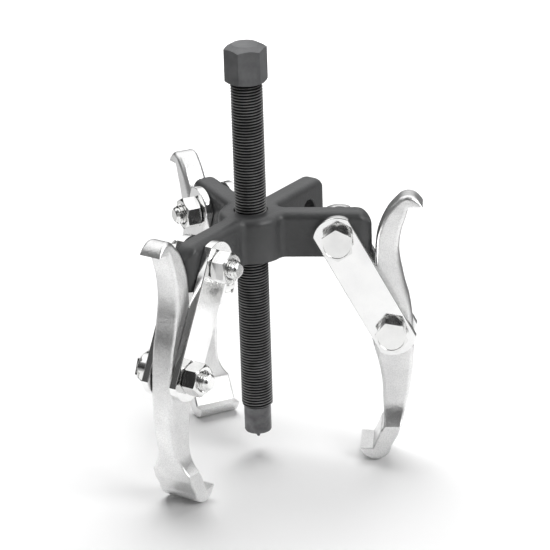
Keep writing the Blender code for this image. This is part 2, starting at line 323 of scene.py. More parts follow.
# %% Fine skin of a casting, forging or plating
def make_skin_group():
    """Fine grain with shallow pits, as a height."""
    group, source, sink = new_group("fine_skin", [("Scale", 900.0), ("Pits", 0.3)], ["Height"])
    vector, scale, pits = source.outputs["Vector"], source.outputs["Scale"], source.outputs["Pits"]
    grain = noise(group, vector, scale, 3.0, 0.6)
    pit_scale = maths(group, "MULTIPLY", scale, 0.35)
    holes = remap(group, noise(group, vector, pit_scale, 1.0), 0.28, 0.42)
    lowered = maths(group, "MULTIPLY", holes, pits)
    link(group, maths(group, "ADD", grain, lowered), sink.inputs["Height"])
    return group


SKIN = make_skin_group()
print("made", SKIN.name)


# %% Broad smudges
def make_smudge_group():
    """Broad uneven patches, as a mask from 0 to 1."""
    group, source, sink = new_group("smudges", [("Scale", 60.0)], ["Mask"])
    broad = noise(group, source.outputs["Vector"], source.outputs["Scale"], 4.0, 0.55)
    link(group, remap(group, broad, 0.32, 0.68), sink.inputs["Mask"])
    return group


SMUDGES = make_smudge_group()
print("made", SMUDGES.name)


# %% Drawn or turned lines
def make_lines_group():
    """Long fine lines, as a height. Stretch the vector to lay them along a piece."""
    group, source, sink = new_group("fine_lines", [("Scale", 700.0)], ["Height"])
    fine = noise(group, source.outputs["Vector"], source.outputs["Scale"], 2.0, 0.5)
    link(group, fine, sink.inputs["Height"])
    return group


LINES = make_lines_group()
print("made", LINES.name)

# %% [markdown]
# ## The finishes
# The yoke is satin black paint on a casting. The screw is blackened steel, rubbed brighter on
# the crests of its thread, where a painted highlight adds to the wear, with painted shade in its
# grooves. The jaws are forgings with a satin plating, and the straps, bolts and nuts are plated
# more brightly. All the plated pieces share one recipe with different polish, so a helper
# builds it from a few numbers.

# %% Material helpers
def start_material(name, colour, metallic, roughness):
    """A Principled material with object coordinates ready to use."""
    mat = bpy.data.materials.new(name)
    mat.use_nodes = True
    tree = mat.node_tree
    shader = tree.nodes["Principled BSDF"]
    shader.inputs["Base Color"].default_value = (*colour, 1)
    shader.inputs["Metallic"].default_value = metallic
    shader.inputs["Roughness"].default_value = roughness
    coords = tree.nodes.new("ShaderNodeTexCoord").outputs["Object"]
    return mat, tree, shader, coords


def stretched(tree, coords, scale, turn=(0, 0, 0)):
    """Coordinates turned, then stretched along each axis."""
    node = tree.nodes.new("ShaderNodeMapping")
    link(tree, coords, node.inputs["Vector"])
    node.inputs["Scale"].default_value = scale
    node.inputs["Rotation"].default_value = turn
    return node.outputs["Vector"]


def use_group(tree, group, vector, **values):
    """Place a shared group and set its numbers."""
    node = tree.nodes.new("ShaderNodeGroup")
    node.node_tree = group
    link(tree, vector, node.inputs["Vector"])
    for label, number in values.items():
        node.inputs[label].default_value = number
    return node.outputs[0]


def mix_colour(tree, mask, low, high):
    """Blend two colours by a mask."""
    node = tree.nodes.new("ShaderNodeMix")
    node.data_type = "RGBA"
    link(tree, mask, node.inputs[0])
    for index, colour in ((6, low), (7, high)):
        if isinstance(colour, tuple):
            node.inputs[index].default_value = (*colour, 1)
        else:
            link(tree, colour, node.inputs[index])
    return node.outputs[2]


def bump(tree, shader, heights):
    """Bump nodes in a row: (height socket, distance in metres, strength) each."""
    normal = None
    for height, distance, strength in heights:
        node = tree.nodes.new("ShaderNodeBump")
        node.inputs["Distance"].default_value = distance
        node.inputs["Strength"].default_value = strength
        link(tree, height, node.inputs["Height"])
        if normal is not None:
            link(tree, normal, node.inputs["Normal"])
        normal = node.outputs["Normal"]
    link(tree, normal, shader.inputs["Normal"])


# %% Black paint of the yoke
def black_paint():
    """Satin black paint over a casting."""
    mat, tree, shader, coords = start_material("satin_black_paint", (0.04, 0.04, 0.041), 0, 0.45)
    smudge = use_group(tree, SMUDGES, coords, Scale=55.0)
    link(tree, mix_colour(tree, smudge, (0.050, 0.051, 0.052), (0.070, 0.071, 0.072)),
         shader.inputs["Base Color"])
    link(tree, remap(tree, smudge, 0, 1, 0.34, 0.46), shader.inputs["Roughness"])
    skin = use_group(tree, SKIN, coords, Scale=1100.0, Pits=0.4)
    swell = use_group(tree, SMUDGES, coords, Scale=160.0)
    bump(tree, shader, [(swell, 0.00014, 0.6), (skin, 0.00009, 1.0)])
    return mat


BLACK_PAINT = black_paint()


# %% Blackened steel of the screw
CREST_RADIUS = 0.0080


def black_steel():
    """Blackened steel thread: painted shade in the grooves; grey crests from rubbed wear and a
    painted highlight.
    """
    mat, tree, shader, coords = start_material("blackened_thread", (0.05, 0.05, 0.05), 0.6, 0.34)
    flat = stretched(tree, coords, (1, 1, 0))
    length = tree.nodes.new("ShaderNodeVectorMath")
    length.operation = "LENGTH"
    link(tree, flat, length.inputs[0])
    # The colour by radius is painted shade, nearly black, in the grooves, and grey toward the
    # crests, partly rubbed wear and partly a painted highlight.
    crest = remap(tree, length.outputs["Value"], CREST_RADIUS - 0.00062, CREST_RADIUS - 0.00008)
    smudge = use_group(tree, SMUDGES, coords, Scale=140.0)
    rub_and_groove_shade = maths(tree, "MULTIPLY", crest, remap(tree, smudge, 0, 1, 0.55, 1.0))
    link(tree, mix_colour(tree, rub_and_groove_shade, (0.011, 0.011, 0.011), (0.34, 0.34, 0.34)),
         shader.inputs["Base Color"])
    link(tree, remap(tree, smudge, 0, 1, 0.28, 0.42), shader.inputs["Roughness"])
    skin = use_group(tree, SKIN, coords, Scale=1500.0, Pits=0.3)
    bump(tree, shader, [(skin, 0.00004, 0.7)])
    return mat


def black_head():
    """Blackened steel of the head, worn a little lighter in patches."""
    mat, tree, shader, coords = start_material("blackened_head", (0.14, 0.14, 0.14), 0.25, 0.42)
    smudge = use_group(tree, SMUDGES, coords, Scale=150.0)
    link(tree, mix_colour(tree, smudge, (0.105, 0.107, 0.110), (0.165, 0.167, 0.170)),
         shader.inputs["Base Color"])
    link(tree, remap(tree, smudge, 0, 1, 0.36, 0.50), shader.inputs["Roughness"])
    skin = use_group(tree, SKIN, coords, Scale=1200.0, Pits=0.4)
    bump(tree, shader, [(skin, 0.00006, 0.8)])
    return mat


BLACK_STEEL = black_steel()
BLACK_HEAD = black_head()
print("made", BLACK_STEEL.name, BLACK_HEAD.name)


# %% Bare turned steel
def turned_steel():
    """Grey steel with fine lines round it from the lathe."""
    mat, tree, shader, coords = start_material("turned_steel", (0.16, 0.16, 0.165), 0.9, 0.35)
    rings = use_group(tree, LINES, stretched(tree, coords, (0.06, 0.06, 4.0)), Scale=700.0)
    smudge = use_group(tree, SMUDGES, coords, Scale=200.0)
    link(tree, mix_colour(tree, smudge, (0.11, 0.11, 0.112), (0.19, 0.19, 0.195)),
         shader.inputs["Base Color"])
    link(tree, remap(tree, rings, 0.3, 0.7, 0.30, 0.44), shader.inputs["Roughness"])
    bump(tree, shader, [(rings, 0.00003, 0.5)])
    return mat


TURNED_STEEL = turned_steel()


# %% Plated steel
GRAIN_DARKENING = 0.62


def plated(name, bright, dull, polish, skin_depth, swell_depth, grain):
    """Plated steel: bright and dull patches, speckled grain, a fine skin and a slow swell."""
    mat, tree, shader, coords = start_material(name, bright, 1.0, polish[0])
    smudge = use_group(tree, SMUDGES, coords, Scale=85.0)
    colour = mix_colour(tree, smudge, bright, dull)
    speck = use_group(tree, LINES, coords, Scale=1900.0)
    darker = tuple(GRAIN_DARKENING * c for c in dull)
    mask = remap(tree, speck, 0.36, 0.60, grain, 0.0)
    link(tree, mix_colour(tree, mask, colour, darker), shader.inputs["Base Color"])
    link(tree, remap(tree, smudge, 0, 1, *polish), shader.inputs["Roughness"])
    skin = use_group(tree, SKIN, coords, Scale=900.0, Pits=0.25)
    swell = use_group(tree, SMUDGES, coords, Scale=120.0)
    bump(tree, shader, [(swell, swell_depth, 0.5), (skin, skin_depth, 0.7)])
    return mat


JAW_PLATING = plated("satin_plated_forging", (0.93, 0.93, 0.925), (0.84, 0.84, 0.84),
                     (0.30, 0.40), 0.00016, 0.00014, 0.35)
STRAP_PLATING = plated("bright_plated_strap", (0.95, 0.95, 0.945), (0.88, 0.88, 0.88),
                       (0.09, 0.16), 0.00001, 0.00004, 0.05)
BOLT_PLATING = plated("bright_plated_bolt", (0.90, 0.90, 0.89), (0.80, 0.80, 0.795),
                      (0.10, 0.19), 0.00001, 0.00003, 0.10)
print("materials", len(bpy.data.materials))

# %% [markdown]
# ## Where the pieces sit
# Each leg has a flat frame of its own: x runs outward along its arm, y across it and z up. Pieces
# are modelled in that simple frame and then moved into place, mesh and all, so that every
# finished object keeps its origin at the tool's own origin. The straps swing about the arm bolt
# and the jaw about the lower bolt.

# %% Leg frames
BOLT_AXIS_Z = 0.1114
BOLT_RING = 0.0436
LINK_LENGTH = 0.056
LEGS = {"a": (30, 27.9, 0.0), "b": (270, 28.9, 1.6), "c": (150, 24.6, -3.2)}


def about_z(degrees):
    """A turn about the upright axis."""
    return Matrix.Rotation(math.radians(degrees), 4, "Z")


def about_y(degrees):
    """A turn about the axis across a leg."""
    return Matrix.Rotation(math.radians(degrees), 4, "Y")


def link_place(letter):
    """From a strap's own frame, hung from the arm bolt, to the tool's frame."""
    angle, swing, _ = LEGS[letter]
    return about_z(angle) @ Matrix.Translation((BOLT_RING, 0, BOLT_AXIS_Z)) @ about_y(-swing)


def jaw_place(letter):
    """From a jaw's own frame, at its bolt, to the tool's frame."""
    _, swing, lean = LEGS[letter]
    drop = Matrix.Translation((0, 0, -LINK_LENGTH))
    return link_place(letter) @ drop @ about_y(swing - lean)


for letter in LEGS:
    print("jaw bolt", letter, [round(v, 4) for v in jaw_place(letter).to_translation()])


# %% Helpers for finished pieces
def arc(centre, radius, start, end, steps):
    """Points on an arc from start to end, in degrees, both ends included."""
    points = []
    for i in range(steps + 1):
        a = math.radians(start + (end - start) * i / steps)
        points.append((centre[0] + radius * math.cos(a), centre[1] + radius * math.sin(a)))
    return points


def to_object(name, bm):
    """A plain object from a bmesh."""
    bmesh.ops.recalc_face_normals(bm, faces=bm.faces)
    mesh = bpy.data.meshes.new(name)
    bm.to_mesh(mesh)
    bm.free()
    obj = bpy.data.objects.new(name, mesh)
    bpy.context.scene.collection.objects.link(obj)
    return obj


def combine(obj, bm, operation="DIFFERENCE"):
    """Cut obj with a shape, or join or keep what they share, and fix the result."""
    other = to_object("tool", bm)
    mod = obj.modifiers.new("tool", "BOOLEAN")
    mod.operation = operation
    mod.solver = "EXACT"
    mod.object = other
    bpy.context.view_layer.update()
    graph = bpy.context.evaluated_depsgraph_get()
    mesh = bpy.data.meshes.new_from_object(obj.evaluated_get(graph))
    obj.modifiers.clear()
    old, obj.data = obj.data, mesh
    bpy.data.meshes.remove(old)
    bpy.data.objects.remove(other)
    return obj


def finish_piece(obj, mat, body, nodes, sharp=34):
    """Shade, paint and hang a finished piece on the body it moves with."""
    obj.data.materials.clear()
    obj.data.materials.append(mat)
    for face in obj.data.polygons:
        face.material_index = 0
    obj.data.shade_smooth()
    obj.data.set_sharp_from_angle(angle=math.radians(sharp))
    even = obj.modifiers.new("even_normals", "WEIGHTED_NORMAL")
    even.keep_sharp = True
    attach(obj, body)
    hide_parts(*nodes)
    return obj


def pull(outline, across, low, high):
    """An outline made a solid: in x and z pulled along y, or in x and y pulled along z."""
    bm = bmesh.new()
    spots = [(u, low, v) if across else (u, v, low) for u, v in outline]
    base = bm.faces.new([bm.verts.new(spot) for spot in spots])
    pulled = bmesh.ops.extrude_face_region(bm, geom=[base])
    moved = [v for v in pulled["geom"] if isinstance(v, bmesh.types.BMVert)]
    shift = (0, high - low, 0) if across else (0, 0, high - low)
    bmesh.ops.translate(bm, vec=shift, verts=moved)
    bmesh.ops.recalc_face_normals(bm, faces=bm.faces)
    return bm


def turn_solid(profile, steps=64):
    """A solid spun about z from (radius, z) points that start and end on the axis."""
    bm = bmesh.new()
    verts = [bm.verts.new((r, 0, z)) for r, z in profile]
    edges = [bm.edges.new(pair) for pair in zip(verts, verts[1:])]
    bmesh.ops.spin(bm, geom=verts + edges, cent=(0, 0, 0), axis=(0, 0, 1),
                   angle=2 * math.pi, steps=steps, use_merge=True)
    bmesh.ops.remove_doubles(bm, verts=bm.verts, dist=1e-6)
    bmesh.ops.recalc_face_normals(bm, faces=bm.faces)
    return bm


def round_edges(bm, edges, offset, segments):
    """Round a set of edges."""
    bmesh.ops.bevel(bm, geom=edges, offset=offset, segments=segments, affect="EDGES",
                    profile=0.5, material=-1, clamp_overlap=True)


def move(bm, matrix):
    """Move a whole bmesh."""
    bmesh.ops.transform(bm, matrix=matrix, verts=bm.verts)
    return bm


# %% [markdown]
# ## The yoke
# The yoke is one heavy casting: four arms round a hub that is threaded for the screw. Its plan
# is a flat outline, pulled up to height and then rounded generously along the top, where the
# casting was dressed. The outer top corner of each arm droops in a larger curve. To get that,
# the arm ends are cut into thin stations that are then lowered one by one. The empty arm shows
# its bolt hole.

# %% Yoke outline
ARM_ANGLES = (30, 90, 150, 270)
ARM_HALF = 0.006
ARM_END = 0.0602
ARM_LOW = BOLT_AXIS_Z - 0.0101
ARM_HIGH = BOLT_AXIS_Z + 0.0133
HUB_RADIUS = 0.0165
HUB_FILLET = 0.004


def yoke_outline():
    """Plan outline: arms with round ends, a round hub and fillets between them."""
    off = ARM_HALF + HUB_FILLET
    lean = math.degrees(math.asin(off / (HUB_RADIUS + HUB_FILLET)))
    along = (HUB_RADIUS + HUB_FILLET) * math.cos(math.radians(lean))
    arm = arc((along, -off), HUB_FILLET, 180 - lean, 90, 8)
    arm += arc((ARM_END - ARM_HALF, 0), ARM_HALF, -90, 90, 20)
    arm += arc((along, off), HUB_FILLET, 270, 180 + lean, 8)
    outline = []
    for angle, following in zip(ARM_ANGLES, ARM_ANGLES[1:] + (ARM_ANGLES[0] + 360,)):
        turn = about_z(angle)
        outline += [tuple((turn @ Vector((x, y, 0)))[:2]) for x, y in arm]
        start, stop = angle + lean, following - lean
        steps = max(1, round((stop - start) / 5))
        outline += arc((0, 0), HUB_RADIUS, start, stop, steps)[1:-1]
    return outline


print("yoke outline points", len(yoke_outline()))

# %% Yoke body
ARM_TOP_ROUND = 0.0046
ARM_END_ROUND = 0.008
ARM_LOW_ROUND = 0.0006
DROOP_STATIONS = 12
DROOP_REACH = 0.96


def yoke_body():
    """The yoke's outline pulled up, rounded along the top and eased along the bottom."""
    bm = pull(yoke_outline(), False, ARM_LOW, ARM_HIGH)
    top = [e for e in bm.edges if all(abs(v.co.z - ARM_HIGH) < 1e-7 for v in e.verts)]
    round_edges(bm, top, ARM_TOP_ROUND, 8)
    bottom = [e for e in bm.edges if all(abs(v.co.z - ARM_LOW) < 1e-7 for v in e.verts)]
    round_edges(bm, bottom, ARM_LOW_ROUND, 2)
    return bm


def droop_ends(bm):
    """Cut each arm's end into stations and lower them along a quarter circle."""
    start = ARM_END - ARM_END_ROUND
    seat = ARM_HIGH - ARM_END_ROUND
    quarter = math.pi / 2 * DROOP_REACH
    for angle in ARM_ANGLES:
        out = (about_z(angle) @ Vector((1, 0, 0)))
        for i in range(DROOP_STATIONS):
            reach = start + ARM_END_ROUND * math.sin(quarter * i / DROOP_STATIONS)
            bmesh.ops.bisect_plane(bm, geom=bm.verts[:] + bm.edges[:] + bm.faces[:],
                                   dist=1e-7, plane_co=out * reach, plane_no=out)
        for vert in bm.verts:
            past = vert.co.dot(out) - start
            if past > 1e-7 and vert.co.z > seat:
                drop = math.sqrt(max(0.0, 1 - (past / ARM_END_ROUND) ** 2))
                vert.co.z = seat + (vert.co.z - seat) * max(drop, 0.02)
    return bm


yoke = to_object("yoke_casting", droop_ends(yoke_body()))
print("yoke faces", len(yoke.data.polygons))

# %% Yoke holes
THREAD_RADIUS = 0.0080
BOLT_HOLE = 0.0051


def hole_tool(radius, low, high, ease):
    """A round cutter along z with a small chamfer at both faces."""
    beyond = 0.003
    return turn_solid([(0, low - beyond), (radius + ease + beyond, low - beyond),
                       (radius, low + ease), (radius, high - ease),
                       (radius + ease + beyond, high + beyond), (0, high + beyond)], 48)


combine(yoke, hole_tool(THREAD_RADIUS + 0.0003, ARM_LOW, ARM_HIGH, 0.0004))
LIE_ACROSS = Matrix.Rotation(math.radians(-90), 4, "X")
for angle in ARM_ANGLES:
    place = about_z(angle) @ Matrix.Translation((BOLT_RING, 0, BOLT_AXIS_Z)) @ LIE_ACROSS
    combine(yoke, move(hole_tool(BOLT_HOLE, -ARM_HALF, ARM_HALF, 0.0005), place))
finish_piece(yoke, BLACK_PAINT, "yoke", ["yoke"], 30)
print("yoke triangles", sum(len(f.vertices) - 2 for f in yoke.data.polygons))

# %% [markdown]
# ## Threads
# A thread is one small ridge wound round and round. The spin operator can climb while it turns,
# so one pitch of the ridge's outline, spun many turns with a rise of one pitch each turn, makes
# a real helical thread whose turns join up. Modelling it beats painting it on, because the light
# catches every crest and the silhouette is ragged as on real thread. The ends run out into the
# plain steel, so each point is held inside a cone there.

# %% Thread maker
# Shares of the pitch: depth, flat at the root, flank and flat at the crest.
THREAD_DEPTH = 0.6134
ROOT_FLAT = 0.167
FLANK = 0.354
CREST_FLAT = 0.125


def thread(major, pitch, low, high, run_out_low, run_out_high, steps):
    """A climbing ridge from low to high, held inside cones near both ends."""
    root = major - THREAD_DEPTH * pitch
    rise = (ROOT_FLAT + FLANK) * pitch
    ridge = [(root, 0), (root, ROOT_FLAT * pitch), (major, rise),
             (major, rise + CREST_FLAT * pitch), (root, pitch)]
    bm = bmesh.new()
    verts = [bm.verts.new((r, 0, low - pitch + z)) for r, z in ridge]
    edges = [bm.edges.new(pair) for pair in zip(verts, verts[1:])]
    turns = math.ceil((high - low) / pitch) + 1
    bmesh.ops.spin(bm, geom=verts + edges, cent=(0, 0, 0), axis=(0, 0, 1),
                   dvec=(0, 0, pitch / steps), angle=2 * math.pi * turns,
                   steps=steps * turns, use_merge=False)
    bmesh.ops.remove_doubles(bm, verts=bm.verts, dist=3e-6)
    for vert in bm.verts:
        radius = math.hypot(vert.co.x, vert.co.y)
        cone = min(run_out_low(vert.co.z), run_out_high(vert.co.z))
        held = max(0.5 * root, min(radius, cone))
        vert.co.x *= held / radius
        vert.co.y *= held / radius
        vert.co.z = min(max(vert.co.z, low), high)
    bmesh.ops.holes_fill(bm, edges=[e for e in bm.edges if e.is_boundary], sides=0)
    bmesh.ops.recalc_face_normals(bm, faces=bm.faces)
    return bm


def add(bm, other):
    """Put another bmesh's faces into bm."""
    mesh = bpy.data.meshes.new("joined")
    other.to_mesh(mesh)
    other.free()
    bm.from_mesh(mesh)
    bpy.data.meshes.remove(mesh)
    return bm


# %% Hexagons
def hexagon_block(flats, low, high, low_circle, high_circle, edge=0.0003, lean=30, dish=0.0):
    """A hexagonal block whose corners are turned off in cones at both ends."""
    corner = flats / math.sqrt(3)
    bm = pull(arc((0, 0), corner, 0, 300, 5), False, low, high)
    upright = [e for e in bm.edges if abs(e.verts[0].co.z - e.verts[1].co.z) > 1e-6]
    round_edges(bm, upright, edge, 2)
    block = to_object("block", bm)
    out = corner * 1.05
    slope = math.tan(math.radians(lean))
    lens = turn_solid([(0, low), (low_circle, low), (out, low + (out - low_circle) * slope),
                       (out, high - (out - high_circle) * slope), (high_circle, high),
                       (high_circle - 0.0008, high - dish), (0, high - dish)], 96)
    combine(block, lens, "INTERSECT")
    bm = bmesh.new()
    bm.from_mesh(block.data)
    bpy.data.objects.remove(block)
    return bm


# %% [markdown]
# ## The forcing screw
# The screw is a single bar: a 19 mm hexagon head for the spanner, a long thread, and a plain
# turned end that is bored for the hardened centre point. The head's corners are turned off in
# cones at both ends, which is what draws the curved arcs on its flats.

# %% Forcing screw
SCREW_PITCH = 0.0015
THREAD_END_Z = 0.0184
HEAD_BASE_Z = 0.1917
HEAD_TOP_Z = 0.2110
HEAD_TURN = 44.3
HEAD_FLATS = 0.019
HEAD_DISH = 0.0002
TIP_RADIUS = 0.0069
NECK_RADIUS = 0.0077
TIP_BASE_Z = 0.0038
POINT_RADIUS = 0.0022
POINT_TOP_Z = 0.0130


def screw_thread():
    """The long thread, running out above the plain end and hidden in the head."""
    return thread(THREAD_RADIUS - 0.00002, SCREW_PITCH, THREAD_END_Z - 0.0014,
                  HEAD_BASE_Z + 0.001,
                  lambda z: TIP_RADIUS - 0.0003 + max(0.0, z - THREAD_END_Z + 0.0008) * 0.8,
                  lambda z: NECK_RADIUS + max(0.0, HEAD_BASE_Z - 0.0013 - z) * 0.8, 40)


def screw_end():
    """The plain turned end with its bored hole for the centre point."""
    ease = 0.0010
    pit = POINT_RADIUS + 0.0003
    return turn_solid([(0, POINT_TOP_Z + 0.0003), (pit, POINT_TOP_Z + 0.0003),
                       (pit, TIP_BASE_Z + 0.0002), (pit + 0.0002, TIP_BASE_Z),
                       (TIP_RADIUS - ease, TIP_BASE_Z),
                       (TIP_RADIUS - ease * 0.3, TIP_BASE_Z + ease * 0.3),
                       (TIP_RADIUS, TIP_BASE_Z + ease), (TIP_RADIUS, THREAD_END_Z + 0.0015),
                       (TIP_RADIUS - 0.001, THREAD_END_Z + 0.0025),
                       (0, THREAD_END_Z + 0.0025)], 64)


head = move(hexagon_block(HEAD_FLATS, HEAD_BASE_Z, HEAD_TOP_Z, 0.0090, 0.0066, 0.0005,
                          dish=HEAD_DISH),
            about_z(HEAD_TURN))
screw = to_object("forcing_screw_thread", screw_thread())
finish_piece(screw, BLACK_STEEL, "screw", ["forcing_screw"], 25)
screw_head = to_object("forcing_screw_head", head)
finish_piece(screw_head, BLACK_HEAD, "screw", ["forcing_screw"], 25)
end = to_object("forcing_screw_end", screw_end())
finish_piece(end, TURNED_STEEL, "screw", ["forcing_screw"], 30)
print("thread triangles", sum(len(f.vertices) - 2 for f in screw.data.polygons))

# %% [markdown]
# ## The centre point
# A small hardened pin sits in the end of the screw. It has a sharp cone that finds the centre
# mark of the shaft. It is a lathe part, so a spun outline makes all of it.

# %% Centre point
point = to_object("centre_point_pin", turn_solid(
    [(0, 0), (0.0005, 0), (0.00062, 0.0001), (POINT_RADIUS - 0.0001, 0.0033),
     (POINT_RADIUS, 0.0035), (POINT_RADIUS, POINT_TOP_Z), (0, POINT_TOP_Z)], 40))
finish_piece(point, TURNED_STEEL, "point", ["centre_point"], 30)
print("point height", POINT_TOP_Z)

# %% [markdown]
# ## The straps
# Two flat straps join each arm to its jaw. They are cut from bright bar: straight sides, ends
# rounded about the bolt holes, and only a whisker of rounding on the edges. That crisp edge is
# what makes a strap read as bar and not as a casting.

# %% Straps
GAP = 0.0003
STRAP_THICK = 0.004
STRAP_HALF_WIDTH = 0.010
STRAP_END_RADIUS = 0.0124
STRAP_EDGE_ROUND = 0.0005


def strap(letter, side):
    """One strap in its link's frame, on the side (-1 or 1) of the arm."""
    lean = math.degrees(math.asin(STRAP_HALF_WIDTH / STRAP_END_RADIUS))
    outline = arc((0, -LINK_LENGTH), STRAP_END_RADIUS, 270 - lean, 270 + lean, 24)
    outline += arc((0, 0), STRAP_END_RADIUS, 90 - lean, 90 + lean, 24)
    near, far = ARM_HALF + GAP, ARM_HALF + GAP + STRAP_THICK
    low, high = (near, far) if side > 0 else (-far, -near)
    bm = pull(outline, True, low, high)
    rims = [e for e in bm.edges if abs(e.verts[0].co.y - e.verts[1].co.y) < 1e-7]
    round_edges(bm, rims, STRAP_EDGE_ROUND, 3)
    obj = to_object("strap", bm)
    for z in (0, -LINK_LENGTH):
        place = Matrix.Translation((0, 0, z)) @ LIE_ACROSS
        combine(obj, move(hole_tool(BOLT_HOLE, low, high, 0.0002), place))
    obj.data.transform(link_place(letter))
    return obj


for letter in LEGS:
    for side, word in ((-1, "head_side"), (1, "nut_side")):
        piece = strap(letter, side)
        piece.name = "link_strap_%s_%s" % (letter, word)
        finish_piece(piece, STRAP_PLATING, "link_" + letter,
                     ["strap_%s_%s" % (letter, word)], 25)
print("straps", 2 * len(LEGS))

# %% [markdown]
# ## Bolts and nuts
# Each joint is a 10 mm bolt with a nut. The bolt's head has its corners turned off on top only,
# over a thin round washer face, while a nut is turned off on both faces and has a countersunk
# thread. A few turns of thread stand past the nut. One bolt and one nut are made, then copied
# to all six places.

# %% Bolt
BOLT_RADIUS = 0.0048
BOLT_FLATS = 0.0147
BOLT_HEAD = 0.0064
NUT_HEIGHT = 0.008
BOLT_STUB = 0.0044
STUB_RADIUS = 0.0046
STUB_END_RADIUS = 0.0031
BOLT_PITCH = 0.0015
WASHER_FACE_RADIUS = 0.0072
STACK = ARM_HALF + GAP + STRAP_THICK + GAP


def bolt_shape():
    """A bolt along z, the top of its head at 0."""
    length = BOLT_HEAD + 2 * STACK + NUT_HEIGHT + BOLT_STUB
    start = BOLT_HEAD + 2 * STACK + 0.001
    face = turn_solid([(0, 0.0005), (WASHER_FACE_RADIUS, 0.0005),
                       (WASHER_FACE_RADIUS, BOLT_HEAD), (0, BOLT_HEAD)], 64)
    shank = turn_solid([(0, 0.001), (BOLT_RADIUS, 0.001), (BOLT_RADIUS, start + 0.0008),
                        (BOLT_RADIUS - 0.001, start + 0.002), (0, start + 0.002)], 48)
    ridge = thread(STUB_RADIUS, BOLT_PITCH, start - 0.0005, length, lambda z: 1.0,
                   lambda z: STUB_END_RADIUS + (length - z) * 0.9, 40)
    block = hexagon_block(BOLT_FLATS, 0, BOLT_HEAD - 0.0004, 0.0067, 0.0091, lean=38)
    return add(add(add(block, face), shank), ridge)


def nut_shape():
    """A nut along z from 0, countersunk at both faces."""
    block = to_object("nut", hexagon_block(BOLT_FLATS, 0, NUT_HEIGHT, 0.0070, 0.0070))
    combine(block, hole_tool(BOLT_RADIUS + 0.00004, 0, NUT_HEIGHT, 0.0007))
    bm = bmesh.new()
    bm.from_mesh(block.data)
    bpy.data.objects.remove(block)
    return bm


bolt_master = to_object("bolt_master", bolt_shape())
nut_master = to_object("nut_master", nut_shape())
print("bolt triangles", sum(len(f.vertices) - 2 for f in bolt_master.data.polygons))

# %% Place the bolts and nuts
BOLT_PLACES = {"arm": (0.0, 55), "jaw": (-LINK_LENGTH, 38)}
for letter in LEGS:
    for which, (z, spin) in BOLT_PLACES.items():
        hub = link_place(letter) @ Matrix.Translation((0, 0, z)) @ about_y(spin) @ LIE_ACROSS
        for word, master, start in (("bolt", bolt_master, -STACK - BOLT_HEAD),
                                    ("nut", nut_master, STACK)):
            mesh = master.data.copy()
            mesh.transform(hub @ Matrix.Translation((0, 0, start)))
            piece = bpy.data.objects.new("%s_pivot_%s_%s" % (which, word, letter), mesh)
            bpy.context.scene.collection.objects.link(piece)
            finish_piece(piece, BOLT_PLATING, "link_" + letter,
                         ["%s_%s_%s" % (which, word, letter)], 28)
for master in (bolt_master, nut_master):
    bpy.data.objects.remove(master)
print("bolts and nuts", 4 * len(LEGS))

# %% [markdown]
# ## The jaws
# Each jaw is a drop forging: a long curved bar with a wide foot that hooks behind the gear, and
# a small outward hook at the other end for pulling from inside a ring. Its side outline is a
# smooth curve through a few measured points. Extruded sideways in short steps, each a little
# smaller or larger than the last, it makes the bar with a soft rounding along every rim, as a
# forging has. Cuts across the ankle then let the foot swell out to its full width.

# %% Jaw outline
OUTER_HOOK_TIP = (0.0160, 0.0655)
OUTER_HOOK_ROOT = (0.0096, 0.0649)
OUTER_EDGE = [(0.0087, 0.0640), (0.0076, 0.0601), (0.0057, 0.0544), (0.0044, 0.0482),
              (0.0039, 0.0416), (0.0043, 0.0358), (0.0054, 0.0300), (0.0066, 0.0237),
              (0.0086, 0.0162), (0.0101, 0.0050), (0.0107, -0.0066), (0.0104, -0.0160),
              (0.0099, -0.0233), (0.0083, -0.0348), (0.0057, -0.0463), (0.0026, -0.0564)]
HEEL_CENTRE = (-0.0090, -0.0617)
HEEL_RADIUS = 0.0081
TOE_TOP_Z = -0.0633
TOE_TIP_X = -0.0170
INNER_CORNER_X = -0.0105
INNER_EDGE = [(-0.0065, -0.0542), (-0.0048, -0.0512), (-0.0049, -0.0440), (-0.0053, -0.0361),
              (-0.0054, -0.0294), (-0.0069, -0.0193), (-0.0103, -0.0053), (-0.0106, 0.0040),
              (-0.0102, 0.0140), (-0.0091, 0.0250), (-0.0082, 0.0340), (-0.0079, 0.0416),
              (-0.0076, 0.0461), (-0.0067, 0.0513), (-0.0045, 0.0575), (-0.0012, 0.0636)]
HOOK_TOP = [(0.0026, 0.0680), (0.0055, 0.0706), (0.0088, 0.0715), (0.0121, 0.0706),
            (0.0145, 0.0682)]


def smooth_curve(points, steps):
    """A smooth curve through the points, with a few steps between each pair."""
    ends = [points[0]] + list(points) + [points[-1]]
    curve = []
    for p0, p1, p2, p3 in zip(ends, ends[1:], ends[2:], ends[3:]):
        for i in range(steps):
            t = i / steps
            curve.append(tuple(
                0.5 * (2 * b + (c - a) * t + (2 * a - 5 * b + 4 * c - d) * t * t
                       + (3 * b - a - 3 * c + d) * t ** 3)
                for a, b, c, d in zip(p0, p1, p2, p3)))
    return curve + [tuple(points[-1])]


def jaw_outline():
    """Outer edge down to the heel, round the toe, up the inside and over the hook."""
    outer = [OUTER_HOOK_ROOT] + smooth_curve(OUTER_EDGE, 4)
    heel = arc(HEEL_CENTRE, HEEL_RADIUS, -5, -163, 20)
    toe = [(TOE_TIP_X, TOE_TOP_Z), (INNER_CORNER_X, TOE_TOP_Z)]
    return outer + heel + toe + smooth_curve(INNER_EDGE + HOOK_TOP + [OUTER_HOOK_TIP], 4)


print("jaw outline points", len(jaw_outline()))

# %% Jaw body
TOE_HALF = 0.0112
FLARE_TOP = -0.0380
FLARE_POWER = 2.2
FLARE_STATIONS = 12
SHARP_TURN = -0.6
TIP_GROWTH = 0.35
FLARE_BASE = -0.0516
RIM_ROUND = 0.0023
FOOT_ROUND = 0.0010
TIP_ROUND = 0.0004
RIM_STEPS = 5


